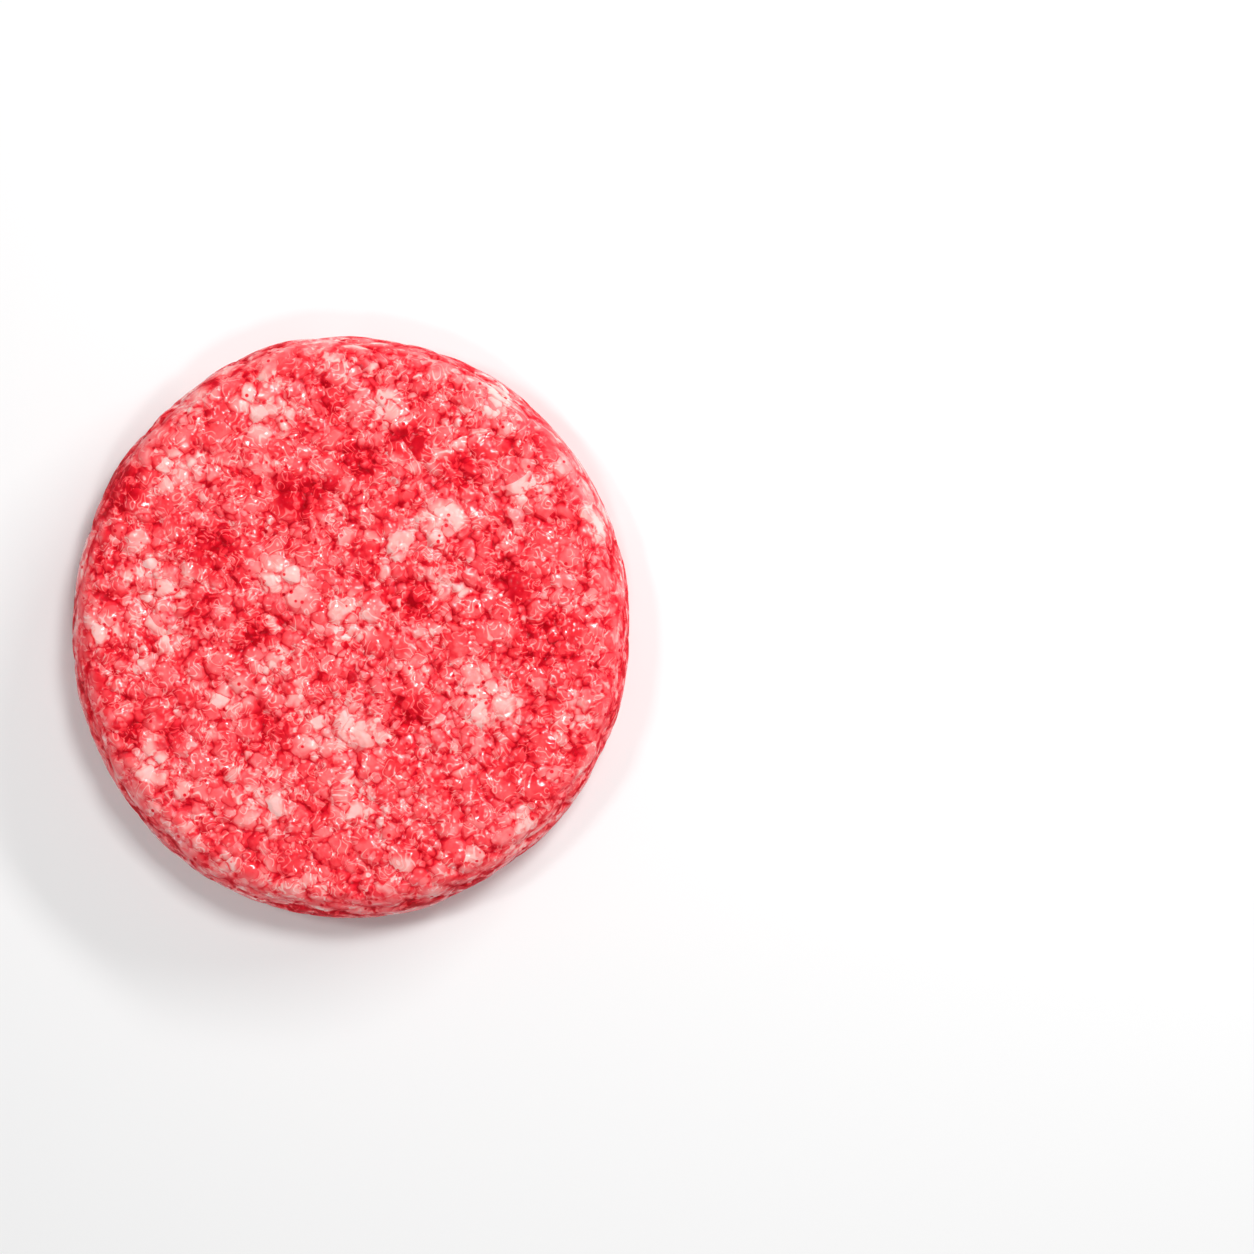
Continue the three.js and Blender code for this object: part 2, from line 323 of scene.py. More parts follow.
def cells_tree(kind):
    """The caps of random cells: how high, where their middle is, which way they rise, and a tint."""
    inputs = {"Sample": VECTOR, "Size": FLOAT, "Level": FLOAT, "Unevenness": FLOAT, "Dome": FLOAT}
    outputs = {"Height": FLOAT, "Offset": VECTOR, "Rise": VECTOR, "Tint": FLOAT}
    tree, given, found = new_tree("caps", kind, inputs, outputs)
    values = {"Vector": given["Sample"], "Scale": calc(tree, "DIVIDE", 1.0, given["Size"])}
    nearest = add(tree, "ShaderNodeTexVoronoi", values, voronoi_dimensions="3D", feature="F1").outputs
    chances = add(tree, "ShaderNodeSeparateXYZ", {"Vector": nearest["Color"]}).outputs
    uneven = calc(tree, "MULTIPLY", calc(tree, "SUBTRACT", chances["X"], 0.5), given["Unevenness"])
    fall = calc(tree, "MULTIPLY", calc(tree, "POWER", nearest["Distance"], 2.0), given["Dome"])
    top = calc(tree, "ADD", given["Level"], uneven)
    tree.links.new(calc(tree, "SUBTRACT", top, fall), found["Height"])
    offset = calc_vector(tree, "SUBTRACT", nearest["Position"], given["Sample"])
    tree.links.new(offset, found["Offset"])
    size_squared = calc(tree, "MULTIPLY", given["Size"], given["Size"])
    steepness = calc(tree, "DIVIDE", calc(tree, "MULTIPLY", given["Dome"], 2.0), size_squared)
    tree.links.new(scaled(tree, offset, steepness), found["Rise"])
    tree.links.new(chances["Y"], found["Tint"])
    return tree


def patch_tree(kind):
    """Raises a total to how far inside a round patch a place is: 1 at its middle, 0 at its edge."""
    inputs = {"Total": FLOAT, "Place": VECTOR, "Middle": VECTOR, "Width": FLOAT}
    tree, given, found = new_tree("patch", kind, inputs, {"Total": FLOAT})
    away = calc_vector(tree, "DISTANCE", given["Place"], given["Middle"])
    inside = calc(tree, "MULTIPLY_ADD", away, calc(tree, "DIVIDE", -2.0, given["Width"]), 1.0)
    tree.links.new(calc(tree, "MAXIMUM", given["Total"], inside), found["Total"])
    return tree


def patches(tree, patch_nodes, place, middles_and_widths):
    """1 well inside any of the patches, 0 outside them all."""
    flat = calc_vector(tree, "MULTIPLY", place, (1, 1, 0))
    total = 0.0
    for x, y, width in middles_and_widths:
        values = {"Total": total, "Place": flat, "Middle": (x, y, 0), "Width": width}
        total = add_group(tree, patch_nodes, values)["Total"]
    return ease(tree, total, *PATCH_EDGE)


def bent(tree, sample, length, shift):
    """Bends space from side to side, so that the grains aren't straight-edged."""
    axes = add(tree, "ShaderNodeSeparateXYZ", {"Vector": sample}).outputs
    turned = add(tree, "ShaderNodeCombineXYZ", {"X": axes["Y"], "Y": axes["Z"], "Z": axes["X"]}).outputs[0]
    phase = calc_vector(tree, "MULTIPLY_ADD", turned, calc(tree, "DIVIDE", TAU, length), BEND_PHASES)
    return calc_vector(tree, "MULTIPLY_ADD", calc_vector(tree, "SINE", phase), shift, sample)


def wander(tree, place, size, reach):
    """Moves each place by up to about reach in a random direction that changes over size."""
    noise = add(tree, "ShaderNodeTexNoise", {"Vector": place, "Scale": 1 / size, "Detail": 1.0})
    centred = calc_vector(tree, "SUBTRACT", noise.outputs["Color"], (0.5, 0.5, 0.5))
    return calc_vector(tree, "MULTIPLY_ADD", centred, (2 * reach,) * 3, place)


def mince_tree(kind, finds_fat):
    """The grains, beads and crumbs at a sample place.

    With finds_fat, where the grains and beads really are decides here which of them are fat. Without it,
    how fat the place is comes in as a share.
    """
    inputs = {"Place": VECTOR, "Sample": VECTOR, "Lump": FLOAT, "Fat": FLOAT} | dict.fromkeys(MINCE, FLOAT)
    outputs = dict.fromkeys(("Offset", "Rise"), VECTOR)
    outputs |= dict.fromkeys(("Height", "Top", "Gap", "Fat", "Tint"), FLOAT)
    tree, given, found = new_tree("mince", kind, inputs, outputs)
    cells_nodes = cells_tree(kind)
    bend = bent(tree, given["Sample"], given["Bend Length"], given["Bend Shift"])
    bend = bent(tree, bend, given["Ruffle Length"], given["Ruffle Shift"])
    bend = bent(tree, bend, given["Crinkle Length"], given["Crinkle Shift"])
    caps = []
    for layer in LAYERS:
        values = {name: given[f"{layer} {name}"] for name in ("Size", "Level", "Unevenness", "Dome")}
        caps.append(add_group(tree, cells_nodes, {"Sample": bend} | values))
    grain, bead, crumb = caps
    grain_fat = bead_fat = given["Fat"]
    if finds_fat:
        patch_nodes = patch_tree(kind)
        grain_fat, bead_fat = (
            patches(tree, patch_nodes, calc_vector(tree, "ADD", given["Place"], cap["Offset"]), FAT_CLUMPS)
            for cap in (grain, bead)
        )
    grain_height = calc(tree, "MULTIPLY_ADD", grain_fat, given["Fat Rise"], grain["Height"])
    bead_height = calc(tree, "MULTIPLY_ADD", bead_fat, given["Fat Rise"], bead["Height"])
    spread = calc(tree, "MULTIPLY", bead_fat, given["Fat Spread"])
    crumb_height = calc(tree, "SUBTRACT", crumb["Height"], spread)
    large = calc(tree, "MAXIMUM", grain_height, bead_height)
    is_bead = calc(tree, "GREATER_THAN", bead_height, grain_height)
    is_crumb = calc(tree, "GREATER_THAN", crumb_height, large)
    top = calc(tree, "MAXIMUM", large, crumb_height)
    small = calc(tree, "MINIMUM", grain_height, bead_height)
    second = calc(tree, "MAXIMUM", small, calc(tree, "MINIMUM", large, crumb_height))

    whole = calc(tree, "ADD", given["Lump"], calc(tree, "MAXIMUM", top, given["Deepest"]))
    over = calc(tree, "MAXIMUM", calc(tree, "SUBTRACT", whole, given["Pressed Top"]), 0.0)
    kept = calc(tree, "MINIMUM", whole, given["Pressed Top"])

    tree.links.new(calc(tree, "MULTIPLY_ADD", over, given["Pressed Share"], kept), found["Height"])
    tree.links.new(top, found["Top"])
    tree.links.new(calc(tree, "SUBTRACT", top, second), found["Gap"])
    tree.links.new(mix(tree, is_bead, grain_fat, bead_fat), found["Fat"])
    tints = mix(tree, is_crumb, mix(tree, is_bead, grain["Tint"], bead["Tint"]), crumb["Tint"])
    tree.links.new(tints, found["Tint"])
    for name in ("Offset", "Rise"):
        larger = mix_vector(tree, is_bead, grain[name], bead[name])
        vector = mix_vector(tree, is_crumb, larger, crumb[name])
        if name == "Rise":
            pressed = calc(tree, "GREATER_THAN", whole, given["Pressed Top"])
            vector = scaled(tree, vector, mix(tree, pressed, 1.0, given["Pressed Share"]))
        tree.links.new(vector, found[name])
    return tree


def relief_tree():
    """Moves the smooth skin out by the mince's relief, and stores how pale or lean each place is."""
    inputs = {"Geometry": "NodeSocketGeometry"} | dict.fromkeys(MINCE | LUMPS | SWELL, FLOAT)
    inputs["Material"] = "NodeSocketMaterial"
    kind = "GeometryNodeTree"
    tree, given, found = new_tree("mince relief", kind, inputs, {"Geometry": "NodeSocketGeometry"})
    mince_nodes = mince_tree(kind, True)
    patch_nodes = patch_tree(kind)
    place = stored(tree, "place", "FLOAT_VECTOR")
    outward = stored(tree, "outward", "FLOAT_VECTOR")
    rim = stored(tree, "rim")
    underside = stored(tree, "underside")
    sizes = {name: given[name] for name in MINCE}
    lump_rises, minces = [], []
    for sample in (place, stored(tree, "smeared", "FLOAT_VECTOR")):
        values = {"Vector": sample, "Scale": calc(tree, "DIVIDE", 1.0, given["Lump Size"])}
        lump = add(tree, "ShaderNodeTexVoronoi", values, voronoi_dimensions="3D", feature="F1").outputs
        inside = calc(tree, "SUBTRACT", given["Lump Level"], lump["Distance"])
        lump_rise = calc(tree, "MULTIPLY", inside, given["Lump Rise"])
        lump_rises.append(lump_rise)
        values = {"Place": place, "Sample": sample, "Lump": lump_rise}
        minces.append(add_group(tree, mince_nodes, values | sizes))
    inner, rimmed = minces

    axes = add(tree, "ShaderNodeSeparateXYZ", {"Vector": place}).outputs
    turn = calc(tree, "DIVIDE", TAU, given["Swell Length"])
    across = calc(tree, "SINE", calc(tree, "MULTIPLY_ADD", turn, axes["X"], SWELL_PHASES[0]))
    squeezed = calc(tree, "MULTIPLY", axes["Y"], given["Swell Squeeze"])
    along = calc(tree, "COSINE", calc(tree, "MULTIPLY_ADD", turn, squeezed, SWELL_PHASES[1]))
    up = add(tree, "ShaderNodeSeparateXYZ", {"Vector": outward}).outputs["Z"]
    swell = calc(tree, "MULTIPLY", calc(tree, "MULTIPLY", across, along), given["Swell Rise"])
    swell = calc(tree, "MULTIPLY", swell, calc(tree, "MAXIMUM", up, 0.0))
    rim_rise = calc(tree, "MULTIPLY", rimmed["Height"], RIM_SHARE)
    rise = calc(tree, "ADD", mix(tree, rim, inner["Height"], rim_rise), swell)

    flat = calc_vector(tree, "MULTIPLY", place, (1, 1, 0))
    opened = ease(tree, calc_vector(tree, "DISTANCE", flat, (0, 0, 0)), REST_SPOT, REST_EDGE)
    sunk = calc(tree, "MULTIPLY", inner["Height"], -UNDER_SHARE)
    hollow = calc(tree, "MULTIPLY", calc(tree, "MAXIMUM", sunk, 0.0), opened)

    skin = calc_vector(tree, "MULTIPLY_ADD", outward, rise, place)
    risen = calc_vector(tree, "MAXIMUM", skin, (-FAR, -FAR, 0))
    under = calc_vector(tree, "ADD", place, add(tree, "ShaderNodeCombineXYZ", {"Z": hollow}).outputs[0])
    metres = calc_vector(tree, "MULTIPLY", mix_vector(tree, underside, risen, under), (MM, MM, MM))
    geometry = add(
        tree, "GeometryNodeSetPosition", {"Geometry": given["Geometry"], "Position": metres}
    ).outputs["Geometry"]
    spread = wander(tree, place, WANDER_SIZE, WANDER_REACH)
    pale = patches(tree, patch_nodes, spread, PALE_PATCHES)
    lean = patches(tree, patch_nodes, spread, LEAN_PATCHES)
    looks = {"zone": calc(tree, "MULTIPLY_ADD", lean, -LEAN_SHARE, pale), "lump": lump_rises[0]}
    for name in ("Fat", "Top", "Gap", "Tint"):
        looks[name.lower()] = mix(tree, rim, inner[name], rimmed[name])
    for name, value in looks.items():
        values = {"Geometry": geometry, "Name": name, "Value": value}
        node = add(tree, "GeometryNodeStoreNamedAttribute", values, data_type="FLOAT", domain="POINT")
        geometry = node.outputs["Geometry"]
    realized = add(tree, "GeometryNodeRealizeInstances", {"Geometry": geometry})
    values = {"Geometry": realized.outputs["Geometry"], "Material": given["Material"]}
    tree.links.new(add(tree, "GeometryNodeSetMaterial", values).outputs["Geometry"], found["Geometry"])
    return tree


# Raw mince
# Lean beef is wet, deep to bright red, and a little light passes into it. Fat is paler, from pink to
# cream, and curls of membrane are paler too. Painted shade darkens creases, holes, low places, steep
# slopes, the side and grains' edges; painted highlights lie beside creases, on crumbs and in the rim's
# smears. The wet film catches the real light.
TONES = (  # places on the scale of tones, and their screen colours
    (0.0, (186, 8, 24)),
    (0.08, (205, 14, 33)),
    (0.15, (218, 24, 42)),
    (0.22, (231, 40, 54)),
    (0.33, (240, 58, 68)),
    (0.465, (246, 88, 93)),
    (0.62, (250, 122, 124)),
    (0.76, (251, 150, 148)),
    (0.9, (252, 176, 171)),
    (1.0, (253, 194, 190)),
)


def colour(red, green, blue):
    """A screen colour, 0 to 255, as the light that Blender counts in."""
    shares = (value / 255 for value in (red, green, blue))
    return tuple(s / 12.92 if s <= 0.04045 else ((s + 0.055) / 1.055) ** 2.4 for s in shares) + (1.0,)


def tone_colour(tree, tone):
    """The colour at a place on the scale of tones, from 0, darkest, to 1, palest."""
    ramp = add(tree, "ShaderNodeValToRGB", {"Fac": tone})
    stops = ramp.color_ramp.elements
    while len(stops) < len(TONES):
        stops.new(0.5)
    for stop, (spot, shade) in zip(stops, TONES):
        stop.position = spot
        stop.color = colour(*shade)
    return ramp.outputs["Color"]


def attribute(tree, name, output="Fac"):
    return add(tree, "ShaderNodeAttribute", {}, attribute_name=name).outputs[output]


def noise_at(tree, position, size, detail=1.0):
    """Random values around 0, from about -0.5 to 0.5, that change over size in millimetres."""
    values = {"Vector": position, "Scale": 1 / size, "Detail": detail}
    noise = add(tree, "ShaderNodeTexNoise", values).outputs["Fac"]
    return calc(tree, "SUBTRACT", noise, 0.5)


def from_nearest(tree, place, spacing):
    """How far the nearest of many random points is, in units of their spacing."""
    values = {"Vector": place, "Scale": 1 / spacing}
    nearest = add(tree, "ShaderNodeTexVoronoi", values, voronoi_dimensions="3D", feature="F1").outputs
    return nearest["Distance"]


def times(tree, one, other):
    return calc(tree, "MULTIPLY", one, other)


def remainder(tree, value, share=1.0):
    """What value leaves when it takes away up to share: 1 where it is 0, and 1 - share where it is 1."""
    return calc(tree, "MULTIPLY_ADD", value, -share, 1.0)


def shifted(tree, tone, amount, shift):
    """The tone, moved by the whole shift where amount is 1."""
    return calc(tree, "MULTIPLY_ADD", amount, shift, tone)


def fade(tree, value, start, end):
    """Goes softly from 1 to 0 while value goes from start to end."""
    return ease(tree, value, start, end, 1.0, 0.0)


CURL_SIZE = 2.6
CURL_SWIRL = 0.35
CURL_LEVELS = 0.1  # of the random field, from one line to the next
CURL_EDGE = (0.006, 0.034)
CURLED_PLACES = (-0.06, 0.03)
CURLED_SIZE = 3.3
CURLS_HIDDEN = 0.7  # by fat and by the smeared rim
APART = 60.0  # how far apart grains with tints 0 and 1 look into the random field


def curls(tree, place, grain_tint, plain):
    """Curls of membrane, which are level lines of a random field, and the places where they show."""
    own = calc_vector(tree, "MULTIPLY_ADD", grain_tint, (APART, APART, APART), place)
    values = {"Vector": own, "Scale": 1 / CURL_SIZE, "Detail": 0.0, "Distortion": CURL_SWIRL}
    field = add(tree, "ShaderNodeTexNoise", values).outputs["Fac"]
    line = fade(tree, calc(tree, "PINGPONG", field, CURL_LEVELS), *CURL_EDGE)
    seen = ease(tree, noise_at(tree, place, CURLED_SIZE), *CURLED_PLACES)
    seen = times(tree, seen, remainder(tree, plain, CURLS_HIDDEN))
    return times(tree, line, seen), seen


SPECK_SPACING = 1.25
SPECK_MIDDLE = 0.5  # this many spacings from its point, a speck is neither paler nor darker
# Painted glints: pale dots on the crumbs' tips.
GLINT_EDGE = (0.09, 0.17)
CLUSTER_SIZE = 5.0
CLUSTERED_PLACES = (-0.06, 0.08)


def specks(tree, place):
    """Clusters of the smallest crumbs, painted only: paler middles and darker edges as painted light and
    shade, and painted glints on their tips.
    """
    away = from_nearest(tree, place, SPECK_SPACING)
    clustered = ease(tree, noise_at(tree, place, CLUSTER_SIZE), *CLUSTERED_PLACES)
    speck = times(tree, calc(tree, "SUBTRACT", SPECK_MIDDLE, away), clustered)
    return speck, times(tree, fade(tree, away, *GLINT_EDGE), clustered)


STRETCH_SIZE = 1.6
NARROW_CREASE = (0.04, 0.24)
WIDE_CREASE = (0.26, 0.42)
SHADED_STRETCHES = (-0.1, 0.06)
PAINTED_SHINE_STRETCHES = (-0.02, 0.1)
# Fat takes away this share of the painted crease shade.
FAT_LIFTS_CREASE_SHADE = 0.85  # by fat


def creases(tree, place, gap, fat):
    """Painted shade darkens the creases, and a thin broken painted highlight lies beside many of them."""
    stretch = noise_at(tree, place, STRETCH_SIZE)
    crease_shade = times(tree, fade(tree, gap, *NARROW_CREASE), fade(tree, stretch, *SHADED_STRETCHES))
    crease_shade = times(tree, crease_shade, remainder(tree, fat, FAT_LIFTS_CREASE_SHADE))
    beside = calc(tree, "SUBTRACT", fade(tree, gap, *WIDE_CREASE), crease_shade)
    return crease_shade, times(tree, beside, ease(tree, stretch, *PAINTED_SHINE_STRETCHES))


MIDDLE_TONE = 0.44
AREA_SHIFT = 0.33  # in a pale area; a lean one goes the other way
TINT_SHIFT = 0.2  # from the darkest grains to the palest
PALE_TINTS = (0.7, 1.0)  # these grains are paler still
PALE_TINT_SHIFT = 0.2
PALE_AREA_HELP = 0.25  # and pale areas have more of them
MOTTLES = ((12, 0.4), (2.8, 0.33), (0.8, 0.08))  # sizes and shifts
STREAK_SIZE = 2.0  # broad streaks on the rim
STREAK_SHIFT = 1.0
SMEAR_SIZE = 1.1  # and thin pale smears, partly fat and partly painted sheen
SMEAR_EDGE = (0.06, 0.13)
SMEAR_AND_SHEEN_SHIFT = 0.3
FAT_TONE = 1.0
FAT_PULL = 0.55
LEAN_EDGE = (0.0, 0.9)
LEAN_SHADING_KEEPS = (0.66, 1.12)  # of its tone: painted shade at a grain's edge, painted light inside it
FAT_EDGE = (0.0, 1.3)
FAT_SHADING_KEEPS = (0.74, 1.08)


def flesh_tone(tree, place, smeared, rim, fat, gap, tint):
    """The tone of the meat: by area and grain, mottled, smeared on the rim with fat and painted sheen, and
    with painted shade at a grain's edge and painted light in its middle.
    """
    zone = attribute(tree, "zone")
    tone = calc(tree, "MULTIPLY_ADD", zone, AREA_SHIFT, MIDDLE_TONE)
    tone = shifted(tree, tone, calc(tree, "SUBTRACT", tint, 0.5), TINT_SHIFT)
    paler = ease(tree, calc(tree, "MULTIPLY_ADD", zone, PALE_AREA_HELP, tint), *PALE_TINTS)
    tone = shifted(tree, tone, paler, PALE_TINT_SHIFT)
    for size, shift in MOTTLES:
        tone = shifted(tree, tone, noise_at(tree, place, size), shift)
    streak = times(tree, noise_at(tree, smeared, STREAK_SIZE), rim)
    tone = shifted(tree, tone, streak, STREAK_SHIFT)
    # Thin pale smears on the rim, partly smeared fat and partly painted sheen of the wet shoulder.
    smear_and_sheen = times(tree, ease(tree, noise_at(tree, smeared, SMEAR_SIZE), *SMEAR_EDGE), rim)
    tone = shifted(tree, tone, smear_and_sheen, SMEAR_AND_SHEEN_SHIFT)
    tone = mix(tree, times(tree, fat, FAT_PULL), tone, FAT_TONE)
    lean_shading = ease(tree, gap, *LEAN_EDGE, *LEAN_SHADING_KEEPS)
    fat_shading = ease(tree, gap, *FAT_EDGE, *FAT_SHADING_KEEPS)
    return times(tree, tone, mix(tree, fat, lean_shading, fat_shading))


def to_world(tree, normal):
    """A normal that is given in the object's own directions, in those of the scene."""
    return add(
        tree,
        "ShaderNodeVectorTransform",
        {"Vector": normal},
        vector_type="NORMAL",
        convert_from="OBJECT",
        convert_to="WORLD",
    ).outputs["Vector"]


def bumped(tree, height, strength, normal):
    """The normal, tilted by a height in millimetres."""
    values = {"Height": height, "Strength": strength, "Distance": MM, "Normal": normal}
    return add(tree, "ShaderNodeBump", values).outputs["Normal"]


FACETED = 0.75  # share of the grains' own slopes in the normal, where the mesh is too coarse for them
SOFTENED = 0.35  # share of the smooth cake's normal, because light inside the meat evens the shade out
GRIT_SIZE = 1.3
GRIT_STRENGTH = 0.12


def meat_normal(tree, place, rise, outward, upright, rim, plump, calm):
    """The grains' own slopes, right up to the creases between them, and a little grit."""
    along = scaled(tree, outward, calc_vector(tree, "DOT_PRODUCT", rise, outward))
    sideways = calc_vector(tree, "SUBTRACT", rise, along)
    tilted = calc_vector(tree, "NORMALIZE", calc_vector(tree, "SUBTRACT", outward, sideways))
    inside = remainder(tree, rim)
    share = times(tree, inside, ease(tree, upright, 0.0, 1.0, 0.0, FACETED))
    grained = calc_vector(tree, "NORMALIZE", mix_vector(tree, share, plump, to_world(tree, tilted)))
    soft = mix_vector(tree, times(tree, inside, SOFTENED), grained, calm)
    soft = calc_vector(tree, "NORMALIZE", soft)
    return bumped(tree, noise_at(tree, place, GRIT_SIZE), GRIT_STRENGTH, soft)


SHOULDER_START = (0.84, 0.96)  # both by how far up the smooth cake's normal points
SIDE_START = (0.2, 0.8)
SIDE_CALM = 0.3
SHOULDER_CALM = 0.9
RIDGE_SIZE = 2.2
RIDGE_LEVELS = 0.11  # of the random field, from a ridge to the furrow beside it
RIDGE_EDGE = (0.0, 0.09)
RIDGE_HEIGHT = 0.06
FILM_SIZE = 1.8
FILM_HEIGHT = 0.26


def film_normal(tree, place, smeared, rim, upright, plump, calm):
    """The wet film, calmer on the pressed shoulder, with fine ridges that catch the light in strings."""
    shoulder = fade(tree, upright, *SHOULDER_START)
    shoulder = times(tree, shoulder, ease(tree, upright, *SIDE_START, SIDE_CALM, SHOULDER_CALM))
    flowing = calc_vector(tree, "NORMALIZE", mix_vector(tree, shoulder, plump, calm))
    spread = mix_vector(tree, rim, place, smeared)
    ridge = calc(tree, "PINGPONG", noise_at(tree, spread, RIDGE_SIZE, 0.0), RIDGE_LEVELS)
    ridge = ease(tree, ridge, *RIDGE_EDGE, RIDGE_HEIGHT, 0.0)
    height = calc(tree, "MULTIPLY_ADD", noise_at(tree, spread, FILM_SIZE, 0.0), FILM_HEIGHT, ridge)
    return bumped(tree, height, 1.0, flowing)


SPECK_SHADING_SHIFT = 0.2
CREASE_SHADE_TONE = 0.22
CREASE_SHADE_PULL = 0.7
# Painted shade in low places, small holes, on the side and on steep slopes:
DEEP_PLACES = (-0.6, 0.25)  # heights of the mince, in millimetres
DEEP_SHADE_SHIFT = -0.1
HOLE_SPACING = 2.4
HOLE_EDGE = (0.12, 0.19)
HOLE_SHADE_TONE = 0.08
HOLE_SHADE_PULL = 0.8
SIDE_PLACES = (0.3, 0.95)
SIDE_SHADE_SHIFT = -0.2
SLOPING = (0.3, 0.95)
LEAN_SLOPE_SHADE = -0.14
CURLED_SLOPE_SHADE = -0.04
FAT_SLOPE_SHADE = -0.24
DARK_TONES = (0.1, 0.32)
CURL_SHIFT = 0.38
PAINTED_SHINE_SHIFT = 0.34
PAINTED_GLINT_SHIFT = 0.35
FILM_COVER = 0.9
FILM_LOST = 0.75  # of that cover, in holes, creases and the darkest places


def raw_mince():
    """The patty's material: its tone first, then the slopes that the light meets, then the wet film."""
    material = bpy.data.materials.new("raw_mince")
    material.use_nodes = True
    tree = material.node_tree
    shader = tree.nodes["Principled BSDF"]
    place, smeared, outward = (
        attribute(tree, name, "Vector")
        for name in ("place", "smeared", "outward")
    )
    rim = attribute(tree, "rim")
    upright = add(tree, "ShaderNodeSeparateXYZ", {"Vector": outward}).outputs["Z"]
    values = {"Sample": place, "Fat": attribute(tree, "fat"), "Lump": attribute(tree, "lump")}
    inner = add_group(tree, mince_tree("ShaderNodeTree", False), values | MINCE)
    middle = calc_vector(tree, "ADD", place, inner["Offset"])
    fat = patches(tree, patch_tree("ShaderNodeTree"), middle, FAT_CLUMPS)
    fat = mix(tree, rim, fat, attribute(tree, "fat"))
    top, gap, tint = (
        mix(tree, rim, inner[name], attribute(tree, name.lower()))
        for name in ("Top", "Gap", "Tint")
    )

    curl, curled = curls(tree, place, inner["Tint"], calc(tree, "MAXIMUM", fat, rim))
    speck, painted_glint = specks(tree, place)
    crease_shade, painted_shine = creases(tree, place, gap, fat)
    hole_shade = fade(tree, from_nearest(tree, place, HOLE_SPACING), *HOLE_EDGE)
    tone = flesh_tone(tree, place, smeared, rim, fat, gap, tint)
    # Painted light and shade of the smallest crumbs, which are not in the relief: paler middles, darker
    # between.
    tone = shifted(tree, tone, speck, SPECK_SHADING_SHIFT)
    # Painted shade: the creases are pulled towards a dark tone.
    tone = mix(tree, times(tree, crease_shade, CREASE_SHADE_PULL), tone, CREASE_SHADE_TONE)
    # Painted shade: darker where the mince lies low.
    tone = shifted(tree, tone, fade(tree, top, *DEEP_PLACES), DEEP_SHADE_SHIFT)
    # Painted shade in small holes, which are not in the relief.
    tone = mix(tree, times(tree, hole_shade, HOLE_SHADE_PULL), tone, HOLE_SHADE_TONE)
    # Painted shade: the side wall is darker.
    side = fade(tree, calc(tree, "ABSOLUTE", upright), *SIDE_PLACES)
    tone = shifted(tree, tone, side, SIDE_SHADE_SHIFT)
    # Painted shade: darker where a grain's own slope is steep, most on fat.
    slope_shade = ease(tree, calc_vector(tree, "LENGTH", inner["Rise"]), *SLOPING)
    slope_shade = times(tree, slope_shade, remainder(tree, rim))
    lean_slope_shade = mix(tree, curled, LEAN_SLOPE_SHADE, CURLED_SLOPE_SHADE)
    tone = shifted(tree, tone, slope_shade, mix(tree, fat, lean_slope_shade, FAT_SLOPE_SHADE))
    dark = fade(tree, tone, *DARK_TONES)
    # Paler lines: curls of membrane in their own right, and painted highlights beside creases and as
    # glints on crumbs.
    for bright, shift in ((curl, CURL_SHIFT), (painted_shine, PAINTED_SHINE_SHIFT), (painted_glint, PAINTED_GLINT_SHIFT)):
        tone = shifted(tree, tone, bright, shift)
    tree.links.new(tone_colour(tree, tone), shader.inputs["Base Color"])

    plump = tree.nodes.new("ShaderNodeNewGeometry").outputs["Normal"]
    calm = to_world(tree, outward)
    normal = meat_normal(tree, place, inner["Rise"], outward, upright, rim, plump, calm)
    tree.links.new(normal, shader.inputs["Normal"])
    film = film_normal(tree, place, smeared, rim, upright, plump, calm)
    tree.links.new(film, shader.inputs["Coat Normal"])
    dull = calc(tree, "MAXIMUM", calc(tree, "MAXIMUM", dark, hole_shade), crease_shade)
    cover = calc(tree, "MULTIPLY_ADD", dull, -FILM_LOST, FILM_COVER)
    tree.links.new(cover, shader.inputs["Coat Weight"])
    shader.inputs["Coat Roughness"].default_value = 0.06
    shader.inputs["Roughness"].default_value = 0.6
    shader.inputs["Specular IOR Level"].default_value = 0.0
    shader.inputs["Subsurface Weight"].default_value = 0.9
    shader.inputs["Subsurface Radius"].default_value = (1.0, 0.24, 0.19)
    shader.inputs["Subsurface Scale"].default_value = 0.0012
    return material


mince_material = raw_mince()
relief = meat.modifiers.new("mince relief", "NODES")
relief.node_group = relief_tree()
relief_values = MINCE | LUMPS | SWELL | {"Material": mince_material}
for item in relief.node_group.interface.items_tree:
    if item.name in relief_values:
        relief[item.identifier] = relief_values[item.name]
depsgraph = bpy.context.evaluated_depsgraph_get()
meat.data = bpy.data.meshes.new_from_object(meat.evaluated_get(depsgraph))
meat.modifiers.clear()
for polygon in meat.data.polygons:
    polygon.use_smooth = True
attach(meat, "root")
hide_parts("patty")

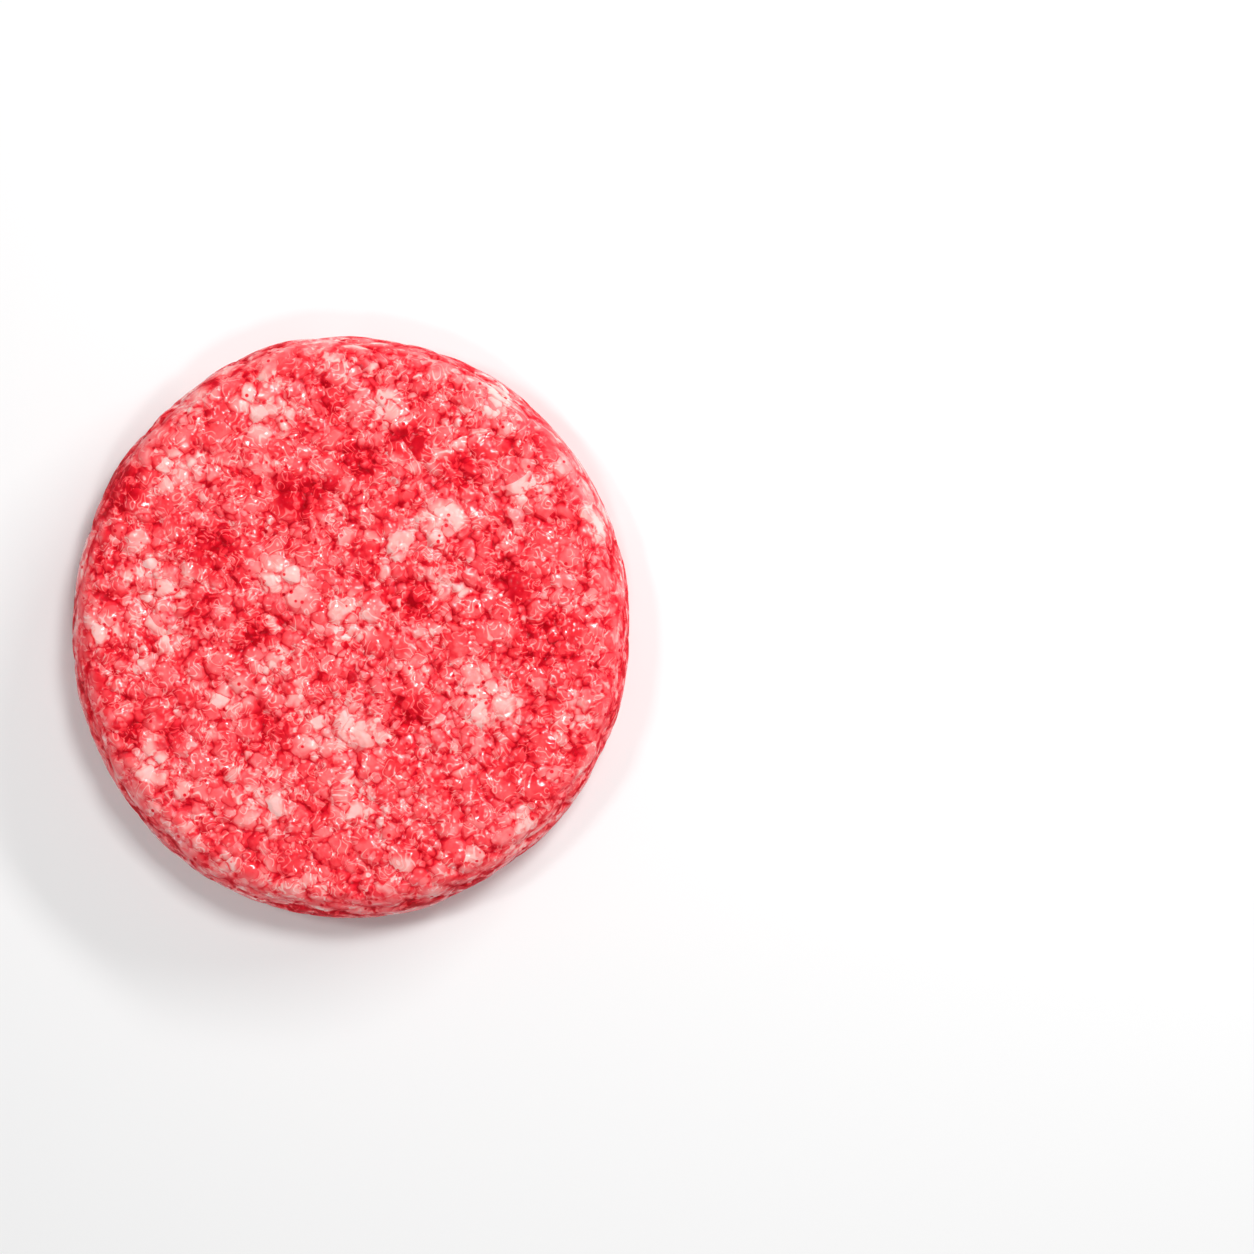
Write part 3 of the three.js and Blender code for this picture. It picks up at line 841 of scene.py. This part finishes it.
# The floor, lights and camera
# A plain pale surface under soft studio light, seen from straight above.
FLOOR_REACH = 2
FLOOR_CORNERS = [(x * FLOOR_REACH, y * FLOOR_REACH, 0) for x, y in ((-1, -1), (1, -1), (1, 1), (-1, 1))]
floor_mesh = bpy.data.meshes.new("floor")
floor_mesh.from_pydata(FLOOR_CORNERS, [], [(0, 1, 2, 3)])
floor = bpy.data.objects.new("floor", floor_mesh)
bpy.context.scene.collection.objects.link(floor)
floor_material = bpy.data.materials.new("floor")
floor_material.use_nodes = True
floor_shader = floor_material.node_tree.nodes["Principled BSDF"]
floor_shader.inputs["Base Color"].default_value = (0.85, 0.85, 0.85, 1)
floor_shader.inputs["Roughness"].default_value = 0.8
floor_mesh.materials.append(floor_material)

LIGHTS = (
    ("key", (0.2, 0.25, 0.67), (0.17, 0.17), 2.55),
    ("left", (-0.3, 0.1, 0.65), (0.1, 0.1), 0.95),
    ("front", (0.05, -0.3, 0.65), (0.1, 0.1), 0.8),
    ("strip", (0.5, 0.42, 0.36), (0.5, 0.07), 3.2),
)
for name, place, (width, height), power in LIGHTS:
    light = bpy.data.lights.new(name, "AREA")
    light.shape = "RECTANGLE"
    light.size = width
    light.size_y = height
    light.energy = power
    lamp = bpy.data.objects.new(name, light)
    lamp.location = place
    lamp.rotation_euler = (-Vector(place)).to_track_quat("-Z", "Y").to_euler()
    bpy.context.scene.collection.objects.link(lamp)
world = bpy.data.worlds.new("studio")
world.use_nodes = True
world.node_tree.nodes["Background"].inputs["Color"].default_value = (1, 1, 1, 1)
world.node_tree.nodes["Background"].inputs["Strength"].default_value = 0.2
bpy.context.scene.world = world
bpy.context.scene.view_settings.view_transform = "Standard"

FRAME_PIXELS = 1254
PATTY_PIXEL = (350.9, 627.3)
PIXEL = 0.1965 * MM
CAMERA_HEIGHT = 0.71
camera_data = bpy.data.cameras.new("camera")
camera_data.sensor_width = 36
frame_width = FRAME_PIXELS * PIXEL
camera_data.lens = camera_data.sensor_width * (CAMERA_HEIGHT - WIDEST_HEIGHT * MM) / frame_width
camera = bpy.data.objects.new("camera", camera_data)
camera.location = (
    (FRAME_PIXELS / 2 - PATTY_PIXEL[0]) * PIXEL,
    (PATTY_PIXEL[1] - FRAME_PIXELS / 2) * PIXEL,
    CAMERA_HEIGHT,
)
bpy.context.scene.collection.objects.link(camera)
bpy.context.scene.camera = camera
